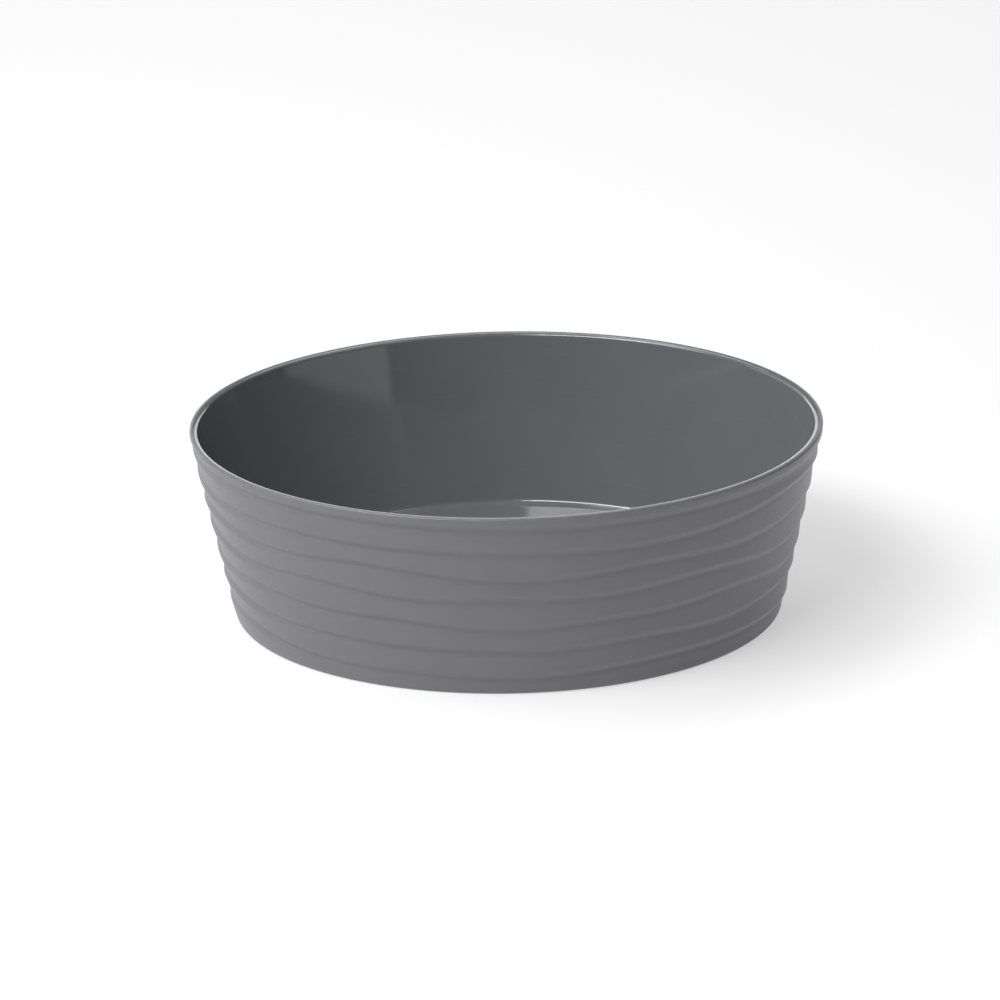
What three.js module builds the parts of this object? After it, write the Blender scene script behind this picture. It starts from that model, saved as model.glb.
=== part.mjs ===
// Round shallow bowl, moulded in one piece: a flared wall whose outside is lapped like
// boards, in seven wavy bands, under a narrow rim band with a rounded top; a smooth inside;
// a flat floor on a foot ring.
// Millimetres, +Z up. The origin is the centre of the foot ring's underside, and the
// reference side of the bowl faces -Y.
import * as THREE from 'three';

// Driving dimensions.
const RIM_RADIUS = 145;
const HEIGHT = 88;
const RIM_WIDTH = 3.8;
const SEGMENTS = 72;

// Outside envelope that the bands' lower edges lie on: a cone, radius = FOOT + FLARE * height.
const ENVELOPE_FOOT = 126.2;
const ENVELOPE_FLARE = 0.22;

// Lapped bands: each lower edge stands proud, then steps in and down to the band below it.
// The shoulder's place is a share of that step.
const STEP_DEPTH = 2.1;
const STEP_DROP = 2.4;
const SHOULDER_IN = 0.35;
const SHOULDER_DOWN = 0.21;
const BAND_MIDDLE = 0.5;

// Height of the ledge from a valley down to the top of the next band's upright face.
const LEDGE_DROP = 2.2;

// On one side of the bowl the bands lean out, so their tops stand proud instead of their lower
// edges: how far out and up each corner of the profile moves there, where, and how narrowly.
const LEAN_TOP = { out: 1.7, up: 2.8 };
const LEAN_VALLEY = { out: 0.78, up: 3.2 };
const LEAN_EDGE = { out: -0.87, up: 2 };
const LEAN_SIDE = -85;
const LEAN_SHARPNESS = 10;
const RIM_BAND_LEAN = 0.6;

// Height of each band's lower edge, from the top one down, and the waves it runs in:
// count = waves in one turn, swing = half height, crest = degrees from the reference side.
// The first is the edge of the rim band.
const BAND_EDGES = [
  { height: 84, waves: [{ count: 5, swing: 0.3, crest: -33 }] },
  { height: 72.2, waves: [{ count: 2, swing: 1.4, crest: 59 }, { count: 4, swing: 1.6, crest: -21 },
    { count: 6, swing: 0.7, crest: 11 }] },
  { height: 60.1, waves: [{ count: 4, swing: 1.0, crest: -36 }, { count: 7, swing: 1.5, crest: 26 }] },
  { height: 48.4, waves: [{ count: 3, swing: 0.7, crest: 20 }, { count: 5, swing: 1.1, crest: -36 },
    { count: 9, swing: 0.9, crest: 1 }] },
  { height: 35.6, waves: [{ count: 3, swing: 0.6, crest: 40 }, { count: 5, swing: 1.3, crest: -33 },
    { count: 10, swing: 0.8, crest: 15 }] },
  { height: 23.3, waves: [{ count: 3, swing: 0.4, crest: 31 }, { count: 7, swing: 0.6, crest: 24 },
    { count: 10, swing: 0.4, crest: -8 }] },
  { height: 10.8, waves: [{ count: 3, swing: 1.4, crest: 39 }, { count: 5, swing: 0.6, crest: -26 },
    { count: 8, swing: 0.4, crest: -19 }] },
];

// Rise of the rim's rounded top.
const RIM_TOP_RISE = 1.6;

// Inside: a smooth cone, radius = INSIDE_FOOT + INSIDE_FLARE * height, a fillet and the floor.
const INSIDE_FOOT = 121.6;
const INSIDE_FLARE = 0.223;
const FLOOR_HEIGHT = 8.2;
const FLOOR_FILLET = 2.6;

// Underside: foot ring, recessed bottom and the shallow dimple of the moulding gate.
const FOOT_OUTER = 123.6;
const FOOT_INNER = 121.4;
const RECESS_RADIUS = 120.6;
const RECESS_HEIGHT = 5.4;
const BASE_EDGE = { radius: 125.6, height: 2 };
const GATE_RADIUS = 7;
const GATE_TOP_RADIUS = 4.9;
const GATE_DIMPLE = 0.6;

// Facets along each rounded part of the profile.
const FOOT_STEPS = 4;
const RIM_TOP_STEPS = 6;
const FILLET_STEPS = 4;

const RESIN = { color: 0x6f7074, roughness: 0.48, metalness: 0 };

const radians = THREE.MathUtils.degToRad;

function wavyHeight(edge, azimuth) {
  return edge.waves.reduce(
    (height, wave) => height + wave.swing * Math.cos(wave.count * (azimuth - radians(wave.crest))),
    edge.height,
  );
}

// A profile point is a function of the azimuth that gives its radius and height.
function fixed(radius, height) {
  return () => ({ radius, height });
}

// Points of an elliptical arc in the profile, in steps from one angle to the other.
function arc(centre, reach, from, to, steps) {
  return Array.from({ length: steps + 1 }, (_, step) => {
    const angle = radians(from + ((to - from) * step) / steps);
    const radius = centre.radius + reach.radius * Math.cos(angle);
    const height = centre.height + reach.height * Math.sin(angle);
    return fixed(radius, height);
  });
}

// How strongly the bands lean out at an azimuth, from none to 1. The rim band leans less.
function leanAt(edge, azimuth) {
  const nearness = (1 + Math.cos(azimuth - radians(LEAN_SIDE))) / 2;
  const share = edge === BAND_EDGES[0] ? RIM_BAND_LEAN : 1;
  return share * nearness ** LEAN_SHARPNESS;
}

// A corner of the profile, so far in from the envelope and down from the edge, where it leans.
function leaning(edge, depth, drop, shift) {
  return (azimuth) => {
    const height = wavyHeight(edge, azimuth);
    const lean = leanAt(edge, azimuth);
    const radius = ENVELOPE_FOOT + ENVELOPE_FLARE * height - depth + shift.out * lean;
    return { radius, height: height - drop + shift.up * lean };
  };
}

function lowerEdge(edge) {
  return leaning(edge, 0, 0, LEAN_EDGE);
}

// The foot of the step under a lower edge.
function valley(edge) {
  return leaning(edge, STEP_DEPTH, STEP_DROP, LEAN_VALLEY);
}

// The top of the next band's upright face, a little below the valley.
function faceTop(edge) {
  return leaning(edge, STEP_DEPTH, STEP_DROP + LEDGE_DROP, LEAN_TOP);
}

function between(lower, upper, share) {
  return (azimuth) => {
    const a = lower(azimuth);
    const b = upper(azimuth);
    return {
      radius: THREE.MathUtils.lerp(a.radius, b.radius, share),
      height: THREE.MathUtils.lerp(a.height, b.height, share),
    };
  };
}

// The rounded shoulder just under a lower edge, nearly as wide as the edge itself.
function shoulder(edge) {
  return (azimuth) => {
    const top = lowerEdge(edge)(azimuth);
    const foot = valley(edge)(azimuth);
    return {
      radius: THREE.MathUtils.lerp(top.radius, foot.radius, SHOULDER_IN),
      height: THREE.MathUtils.lerp(top.height, foot.height, SHOULDER_DOWN),
    };
  };
}

function undersideProfile() {
  return [
    fixed(0, RECESS_HEIGHT + GATE_DIMPLE),
    fixed(GATE_TOP_RADIUS, RECESS_HEIGHT + GATE_DIMPLE),
    fixed(GATE_RADIUS, RECESS_HEIGHT),
    fixed(RECESS_RADIUS, RECESS_HEIGHT),
    fixed(FOOT_INNER, 0),
    ...arc(
      { radius: FOOT_OUTER, height: BASE_EDGE.height },
      { radius: BASE_EDGE.radius - FOOT_OUTER, height: BASE_EDGE.height },
      -90, 0, FOOT_STEPS,
    ),
  ];
}

function outerWallProfile() {
  const points = [];
  let below = fixed(BASE_EDGE.radius, BASE_EDGE.height);
  [...BAND_EDGES].reverse().forEach((edge) => {
    const top = faceTop(edge);
    points.push(between(below, top, BAND_MIDDLE), top, valley(edge), shoulder(edge), lowerEdge(edge));
    below = lowerEdge(edge);
  });
  return points;
}

function rimProfile() {
  const half = RIM_WIDTH / 2;
  const centre = { radius: RIM_RADIUS - half, height: HEIGHT - RIM_TOP_RISE };
  return arc(centre, { radius: half, height: RIM_TOP_RISE }, 0, 180, RIM_TOP_STEPS);
}

function insideProfile() {
  const slope = Math.atan(INSIDE_FLARE);
  const centreHeight = FLOOR_HEIGHT + FLOOR_FILLET;
  const centreRadius = INSIDE_FOOT + INSIDE_FLARE * centreHeight - FLOOR_FILLET / Math.cos(slope);
  const fillet = arc(
    { radius: centreRadius, height: centreHeight },
    { radius: FLOOR_FILLET, height: FLOOR_FILLET },
    -THREE.MathUtils.radToDeg(slope), -90, FILLET_STEPS,
  );
  return [...fillet, fixed(0, FLOOR_HEIGHT)];
}

// Turns the profile about Z. Its first and last points lie on the axis.
function turned(profile) {
  const rings = profile.slice(1, -1);
  const positions = [];
  const indices = [];
  const vertex = (ring, segment) => ring * SEGMENTS + (segment % SEGMENTS);
  rings.forEach((point) => {
    for (let segment = 0; segment < SEGMENTS; segment += 1) {
      const azimuth = (segment / SEGMENTS) * Math.PI * 2;
      const { radius, height } = point(azimuth);
      positions.push(radius * Math.sin(azimuth), -radius * Math.cos(azimuth), height);
    }
  });
  const bottomPole = positions.length / 3;
  const topPole = bottomPole + 1;
  positions.push(0, 0, profile[0](0).height, 0, 0, profile[profile.length - 1](0).height);
  for (let segment = 0; segment < SEGMENTS; segment += 1) {
    indices.push(bottomPole, vertex(0, segment + 1), vertex(0, segment));
    indices.push(topPole, vertex(rings.length - 1, segment), vertex(rings.length - 1, segment + 1));
    for (let ring = 0; ring < rings.length - 1; ring += 1) {
      const a = vertex(ring, segment);
      const b = vertex(ring, segment + 1);
      const c = vertex(ring + 1, segment + 1);
      const d = vertex(ring + 1, segment);
      indices.push(a, b, c, a, c, d);
    }
  }
  const geometry = new THREE.BufferGeometry();
  geometry.setAttribute('position', new THREE.Float32BufferAttribute(positions, 3));
  geometry.setIndex(indices);
  geometry.computeVertexNormals();
  return geometry;
}

function bowl() {
  const profile = [...undersideProfile(), ...outerWallProfile(), ...rimProfile(), ...insideProfile()];
  const mesh = new THREE.Mesh(turned(profile), new THREE.MeshStandardMaterial(RESIN));
  mesh.name = 'bowl';
  return mesh;
}

const model = new THREE.Group();
model.add(bowl());

export default model;
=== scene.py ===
# The round lapped bowl: its fine surface and looks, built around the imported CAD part.
import math

import bpy
import numpy as np
from mathutils import Matrix, Vector


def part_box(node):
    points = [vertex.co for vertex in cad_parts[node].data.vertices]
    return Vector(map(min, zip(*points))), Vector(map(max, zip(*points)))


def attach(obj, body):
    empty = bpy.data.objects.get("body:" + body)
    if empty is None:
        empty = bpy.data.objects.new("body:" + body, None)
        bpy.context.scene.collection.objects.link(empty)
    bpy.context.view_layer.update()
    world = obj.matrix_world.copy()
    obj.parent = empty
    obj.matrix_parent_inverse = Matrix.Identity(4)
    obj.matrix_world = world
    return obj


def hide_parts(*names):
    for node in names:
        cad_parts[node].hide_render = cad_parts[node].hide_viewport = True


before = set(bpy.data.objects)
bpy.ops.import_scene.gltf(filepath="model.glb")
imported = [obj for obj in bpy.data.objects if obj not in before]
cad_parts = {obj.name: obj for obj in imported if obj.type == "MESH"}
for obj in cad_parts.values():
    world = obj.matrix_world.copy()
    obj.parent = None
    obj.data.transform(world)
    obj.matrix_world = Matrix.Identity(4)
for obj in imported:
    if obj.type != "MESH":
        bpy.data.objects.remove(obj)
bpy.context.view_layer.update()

MM = 0.001
BOWL_LOW, BOWL_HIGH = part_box("bowl")

# Driving dimensions, in millimetres. The rim's radius and the height come from the frame.
RIM_RADIUS = (BOWL_HIGH.x - BOWL_LOW.x) / 2 / MM
HEIGHT = BOWL_HIGH.z / MM
RIM_WIDTH = 3.8

# Outside: the cone that the bands' lower edges lie on, and the step under each edge.
ENVELOPE_FOOT = 126.2
ENVELOPE_FLARE = 0.22
STEP_DEPTH = 2.1
STEP_DROP = 2.4

# Height of each band's lower edge, from the foot up, and the waves it runs in:
# (waves in one turn, half height, crest in degrees from the reference side).
BAND_EDGES = [
    (10.8, [(3, 1.4, 39), (5, 0.6, -26), (8, 0.4, -19)]),
    (23.3, [(3, 0.4, 31), (7, 0.6, 24), (10, 0.4, -8)]),
    (35.6, [(3, 0.6, 40), (5, 1.3, -33), (10, 0.8, 15)]),
    (48.4, [(3, 0.7, 20), (5, 1.1, -36), (9, 0.9, 1)]),
    (60.1, [(4, 1.0, -36), (7, 1.5, 26)]),
    (72.2, [(2, 1.4, 59), (4, 1.6, -21), (6, 0.7, 11)]),
]
RIM_BAND_EDGE = (84.0, [(5, 0.3, -33)])

# Height of the ledge from a valley down to the top of the next band's face.
LEDGE_DROP = 2.2

# On one side of the bowl the bands lean out, so their tops stand proud instead of their lower
# edges: how far out and up each corner of the profile moves there, where, and how narrowly.
LEAN_TOP = (1.7, 2.8)
LEAN_VALLEY = (0.78, 3.2)
LEAN_EDGE = (-0.87, 2.0)
LEAN_SIDE = -85
LEAN_SHARPNESS = 10
RIM_BAND_LEAN = 0.6

# How far the rounding of each corner of a band reaches down and up, and both ways where it leans.
TOP_REACH = (0.8, 0.8, 0.9)
VALLEY_REACH = (1.0, 1.1, 0.45)
EDGE_REACH = (1.1, 1.0, 0.3)
EDGE_WEAR = 0.5

# Fixed corners of the profile: (radius, height, reach before, reach after, wear from 0 to 1).
# The underside runs from the moulding gate's dimple out to the foot ring and the base.
UNDERSIDE = [
    (4.9, 6.0, 0.8, 0.8, 0.0),
    (7.0, 5.4, 0.8, 0.8, 0.0),
    (120.6, 5.4, 0.8, 0.8, 0.0),
    (121.4, 0.0, 0.6, 0.6, 1.0),
    (125.6, 0.0, 2.0, 2.0, 0.2),
]
LIP = [
    (RIM_RADIUS, HEIGHT, 1.3, 1.4, 1.0),
    (RIM_RADIUS - RIM_WIDTH, HEIGHT, 2.0, 1.6, 1.0),
]
INSIDE_FLOOR_EDGE = (123.4, 8.2, 2.3, 2.3, 0.0)

# Mesh density: steps round the bowl, and steps round each softened corner of the profile. The
# rows that guard a corner keep its bend out of the shading of the flat parts beside it.
TURN_STEPS = 480
CORNER_STEPS = 6
CORNER_GUARD = 0.15
ROWS_PER_CORNER = CORNER_STEPS + 3

# Plastic: colour, roughness, index of refraction and depth of the grain in millimetres.
SATIN_OUTSIDE = ("satin_outside", (0.165, 0.164, 0.180), 0.4, 1.5, 0.05)
POLISHED_INSIDE = ("polished_inside", (0.160, 0.163, 0.174), 0.08, 1.7, 0.01)
OUTSIDE_SLOT = 0
INSIDE_SLOT = 1

# Its texture: features to the metre, and how strongly they show.
CLOUD_SCALE = 24
PATCH_SCALE = 180
SPECKLE_SCALE = 700
GRAIN_SCALE = 2400
RUB_SCALES = (40, 40, 900)
CLOUDINESS = 0.03
PALENESS = 1.5
RUB_TINT = 0.12
WEAR_TINT = 0.3
ROUGHNESS_SWING = 0.03
RUB_ROUGHNESS = 0.1
WEAR_GLOSS = 0.06
SPECKLE_DEPTH = 0.6
BUMP_STRENGTH = 0.5
WEAR = "wear"

# Camera: angles in degrees, distance in rim radii, lens and sensor in millimetres.
CAMERA_ELEVATION = 18.11
CAMERA_ROLL = -0.99
CAMERA_DISTANCE = 20
CAMERA_LENS = 227.2
CAMERA_SENSOR = 36
CAMERA_SHIFT = (-0.0075, 0.012)
CAMERA_REACH = 50

# Soft boxes: (name, azimuth and elevation in degrees, distance, width and height in metres, watts).
LIGHTS = [
    ("key", -39.7, 50, 2.0, 1.45, 0.6, 29),
    ("left", -80, 46, 2.0, 0.9, 0.9, 9),
    ("left_top", -100, 62, 2.0, 0.8, 0.8, 6),
    ("right_top", 90, 55, 2.0, 1.0, 1.0, 3.0),
    ("right_low", 70, 6, 2.0, 1.7, 0.4, 1.1),
    ("back_top", 180, 52, 2.0, 1.4, 0.9, 9),
    ("backdrop", 180, 9, 2.5, 3.0, 0.8, 12),
    ("backdrop_left", -135, 14, 2.5, 2.6, 1.2, 7),
]
WORLD_STRENGTH = 0.02

# Floor: half its side in metres, and its pale, faintly glowing surface.
FLOOR_REACH = 5
FLOOR_SHADE = 0.55
FLOOR_ROUGHNESS = 0.9
FLOOR_SPECULAR = 0.1
FLOOR_GLOW = 0.48

AZIMUTHS = np.arange(TURN_STEPS) * (2 * math.pi / TURN_STEPS)


def wavy_height(edge):
    """Height of a wavy edge at every azimuth."""
    height, waves = edge
    total = np.full(TURN_STEPS, float(height))
    for count, swing, crest in waves:
        total += swing * np.cos(count * (AZIMUTHS - math.radians(crest)))
    return total


def corner(radius, height, before, after, wear):
    """A corner of the profile at every azimuth, how far its rounding reaches each way, and how
    worn it is."""
    point = np.empty((TURN_STEPS, 2))
    point[:, 0] = radius
    point[:, 1] = height
    return point, before, after, wear


def band_corners():
    """From the foot up: the top of each band's face, the valley over it, the lower edge above."""
    side_lean = ((1 + np.cos(AZIMUTHS - math.radians(LEAN_SIDE))) / 2) ** LEAN_SHARPNESS
    corners = []
    for edge in BAND_EDGES + [RIM_BAND_EDGE]:
        lean = side_lean * (RIM_BAND_LEAN if edge is RIM_BAND_EDGE else 1)
        height = wavy_height(edge)
        radius = ENVELOPE_FOOT + ENVELOPE_FLARE * height
        face = radius - STEP_DEPTH
        places = [
            (face, height - STEP_DROP - LEDGE_DROP, LEAN_TOP, TOP_REACH, 0),
            (face, height - STEP_DROP, LEAN_VALLEY, VALLEY_REACH, 0),
            (radius, height, LEAN_EDGE, EDGE_REACH, EDGE_WEAR),
        ]
        for out, up, (lean_out, lean_up), (before, after, leaning), wear in places:
            reaches = [(reach + (leaning - reach) * lean)[:, None] for reach in (before, after)]
            corners.append(corner(out + lean_out * lean, up + lean_up * lean, *reaches, wear))
    return corners


def toward(point, target, distance):
    leg = target - point
    length = np.linalg.norm(leg, axis=1, keepdims=True)
    return leg / length * distance


def softened(corners):
    """Rows of the profile, one ring of points each, with every corner rounded off, and the wear
    of each row, which is greatest halfway round a corner."""
    rows = []
    wears = []
    for index, (point, before, after, wear) in enumerate(corners):
        axis = point * [0, 1]
        previous = corners[index - 1][0] if index else axis
        following = corners[index + 1][0] if index + 1 < len(corners) else axis
        start = point + toward(point, previous, before)
        end = point + toward(point, following, after)
        rows.append(point + toward(point, previous, before + CORNER_GUARD))
        wears.append(0)
        for step in range(CORNER_STEPS + 1):
            t = step / CORNER_STEPS
            rows.append((1 - t) ** 2 * start + 2 * t * (1 - t) * point + t ** 2 * end)
            wears.append(wear * 4 * t * (1 - t))
        rows.append(point + toward(point, following, after + CORNER_GUARD))
        wears.append(0)
    return rows, wears


def ring(row):
    """One row of the profile as points round the bowl, from its reference side on."""
    radius, height = row[:, 0], row[:, 1]
    return np.column_stack([radius * np.sin(AZIMUTHS), -radius * np.cos(AZIMUTHS), height])


def turned_mesh(name, rows, wears, inside_from):
    """A closed surface turned about Z from its rows, with a point on the axis at each end.
    Rows from inside_from on belong to the polished inside and take the second material."""
    poles = np.array([[0, 0, rows[0][0, 1]], [0, 0, rows[-1][0, 1]]])
    verts = np.vstack([ring(row) for row in rows] + [poles]) * MM
    bottom = len(rows) * TURN_STEPS
    top = bottom + 1
    last = bottom - TURN_STEPS
    faces = []
    slots = []
    for s in range(TURN_STEPS):
        n = (s + 1) % TURN_STEPS
        faces += [(bottom, n, s), (top, last + s, last + n)]
        slots += [OUTSIDE_SLOT, INSIDE_SLOT]
        for r in range(len(rows) - 1):
            a = r * TURN_STEPS
            b = a + TURN_STEPS
            faces.append((a + s, a + n, b + n, b + s))
            slots.append(INSIDE_SLOT if r >= inside_from else OUTSIDE_SLOT)
    mesh = bpy.data.meshes.new(name)
    mesh.from_pydata(verts.tolist(), [], faces)
    mesh.materials.append(moulded_plastic(*SATIN_OUTSIDE))
    mesh.materials.append(moulded_plastic(*POLISHED_INSIDE))
    mesh.polygons.foreach_set("material_index", slots)
    values = np.append(np.repeat(wears, TURN_STEPS), [0, 0])
    mesh.attributes.new(WEAR, "FLOAT", "POINT").data.foreach_set("value", values)
    mesh.update()
    mesh.shade_smooth()
    return placed(name, mesh)


def placed(name, data):
    """An object of that mesh, light or camera, in the scene."""
    obj = bpy.data.objects.new(name, data)
    bpy.context.scene.collection.objects.link(obj)
    return obj


def node(tree, kind, inputs):
    """A shader node: an input given a socket is linked to it, any other is set."""
    made = tree.nodes.new(kind)
    for label, value in inputs.items():
        if isinstance(value, bpy.types.NodeSocket):
            tree.links.new(value, made.inputs[label])
        else:
            made.inputs[label].default_value = value
    return made


def noise(tree, place, scale, detail):
    inputs = {"Vector": place, "Scale": scale, "Detail": detail}
    return node(tree, "ShaderNodeTexNoise", inputs).outputs["Fac"]


def spread(tree, value, low, high, to_low, to_high):
    """Stretches the values from low to high over the range to_low to to_high."""
    inputs = {
        "Value": value, "From Min": low, "From Max": high, "To Min": to_low, "To Max": to_high,
    }
    return node(tree, "ShaderNodeMapRange", inputs).outputs["Result"]


def combined(tree, operation, first, second):
    made = node(tree, "ShaderNodeMath", {0: first, 1: second})
    made.operation = operation
    return made.outputs["Value"]


def tinted(tree, amount, first, second):
    """The first colour, turned into the second by the amount."""
    made = tree.nodes.new("ShaderNodeMix")
    made.data_type = "RGBA"
    tree.links.new(amount, made.inputs["Factor"])
    for socket, colour in zip([i for i in made.inputs if i.type == "RGBA"], (first, second)):
        if isinstance(colour, bpy.types.NodeSocket):
            tree.links.new(colour, socket)
        else:
            socket.default_value = (*colour, 1)
    return next(o for o in made.outputs if o.type == "RGBA")


def moulded_plastic(name, colour, roughness, ior, grain_depth):
    """Moulded polypropylene: cloudy tone, fine grain, level rub marks, and pale wear on edges."""
    material = bpy.data.materials.new(name)
    material.use_nodes = True
    tree = material.node_tree
    bsdf = tree.nodes["Principled BSDF"]
    bsdf.inputs["IOR"].default_value = ior
    place = tree.nodes.new("ShaderNodeTexCoord").outputs["Object"]
    edge = tree.nodes.new("ShaderNodeAttribute")
    edge.attribute_name = WEAR

    clouds = noise(tree, place, CLOUD_SCALE, 3)
    speckle = noise(tree, place, SPECKLE_SCALE, 2)
    grain = noise(tree, place, GRAIN_SCALE, 3)
    level = node(tree, "ShaderNodeMapping", {"Vector": place, "Scale": RUB_SCALES}).outputs["Vector"]
    rubs = spread(tree, noise(tree, level, 1, 3), 0.62, 0.74, 0, 1)
    patches = spread(tree, noise(tree, place, PATCH_SCALE, 4), 0.4, 0.65, 0, 1)
    worn = combined(tree, "MULTIPLY", edge.outputs["Fac"], patches)

    dark = [(1 - CLOUDINESS) * channel for channel in colour]
    light = [(1 + CLOUDINESS) * channel for channel in colour]
    pale = [channel * PALENESS for channel in colour]
    clouded = tinted(tree, spread(tree, clouds, 0.3, 0.7, 0, 1), dark, light)
    rubbed = tinted(tree, combined(tree, "MULTIPLY", rubs, RUB_TINT), clouded, pale)
    bare = tinted(tree, combined(tree, "MULTIPLY", worn, WEAR_TINT), rubbed, pale)
    tree.links.new(bare, bsdf.inputs["Base Color"])

    smooth, dull = roughness - ROUGHNESS_SWING, roughness + ROUGHNESS_SWING
    rough = spread(tree, speckle, 0.3, 0.7, smooth, dull)
    rough = combined(tree, "ADD", rough, combined(tree, "MULTIPLY", rubs, RUB_ROUGHNESS))
    rough = combined(tree, "SUBTRACT", rough, combined(tree, "MULTIPLY", worn, WEAR_GLOSS))
    tree.links.new(rough, bsdf.inputs["Roughness"])

    height = combined(tree, "ADD", grain, combined(tree, "MULTIPLY", speckle, SPECKLE_DEPTH))
    relief = {"Height": height, "Strength": BUMP_STRENGTH, "Distance": grain_depth * MM}
    bump = node(tree, "ShaderNodeBump", relief)
    tree.links.new(bump.outputs["Normal"], bsdf.inputs["Normal"])
    return material


def camera():
    data = bpy.data.cameras.new("camera")
    obj = placed("camera", data)
    elevation = math.radians(CAMERA_ELEVATION)
    distance = CAMERA_DISTANCE * RIM_RADIUS * MM
    back = Vector((0, -math.cos(elevation), math.sin(elevation)))
    target = Vector((0, 0, HEIGHT * MM / 2))
    obj.location = target + back * distance
    roll = Matrix.Rotation(math.radians(CAMERA_ROLL), 3, "Z")
    turn = back.to_track_quat("Z", "Y").to_matrix() @ roll
    obj.rotation_euler = turn.to_euler()
    data.lens = CAMERA_LENS
    data.sensor_width = CAMERA_SENSOR
    data.shift_x, data.shift_y = CAMERA_SHIFT
    data.clip_end = CAMERA_REACH
    bpy.context.scene.camera = obj


def area_light(name, azimuth, elevation, distance, width, height, power):
    """A soft box that faces the origin. Azimuth runs from the reference side towards +X."""
    data = bpy.data.lights.new(name, "AREA")
    data.shape = "RECTANGLE"
    data.size = width
    data.size_y = height
    data.energy = power
    obj = placed(name, data)
    a, e = math.radians(azimuth), math.radians(elevation)
    away = Vector((math.sin(a) * math.cos(e), -math.cos(a) * math.cos(e), math.sin(e)))
    obj.location = away * distance
    obj.rotation_euler = away.to_track_quat("Z", "Y").to_euler()


def pale_floor():
    material = bpy.data.materials.new("pale_floor")
    material.use_nodes = True
    inputs = material.node_tree.nodes["Principled BSDF"].inputs
    inputs["Base Color"].default_value = (FLOOR_SHADE, FLOOR_SHADE, FLOOR_SHADE, 1)
    inputs["Roughness"].default_value = FLOOR_ROUGHNESS
    inputs["Specular IOR Level"].default_value = FLOOR_SPECULAR
    inputs["Emission Color"].default_value = (1, 1, 1, 1)
    inputs["Emission Strength"].default_value = FLOOR_GLOW
    return material


def studio():
    world = bpy.data.worlds.new("studio")
    bpy.context.scene.world = world
    world.use_nodes = True
    background = world.node_tree.nodes["Background"]
    background.inputs["Color"].default_value = (1, 1, 1, 1)
    background.inputs["Strength"].default_value = WORLD_STRENGTH
    for light in LIGHTS:
        area_light(*light)
    mesh = bpy.data.meshes.new("floor")
    reach = FLOOR_REACH
    sides = [(-reach, -reach, 0), (reach, -reach, 0), (reach, reach, 0), (-reach, reach, 0)]
    mesh.from_pydata(sides, [], [(0, 1, 2, 3)])
    mesh.materials.append(pale_floor())
    floor = placed("floor", mesh)


def main():
    bpy.context.scene.view_settings.view_transform = "Standard"
    outside = [corner(*place) for place in UNDERSIDE] + band_corners()
    outside += [corner(*place) for place in LIP]
    rows, wears = softened(outside + [corner(*INSIDE_FLOOR_EDGE)])
    inside_from = (len(outside) - 1) * ROWS_PER_CORNER
    bowl = turned_mesh("lapped_bowl", rows, wears, inside_from)
    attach(bowl, "root")
    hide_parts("bowl")
    camera()
    studio()


main()
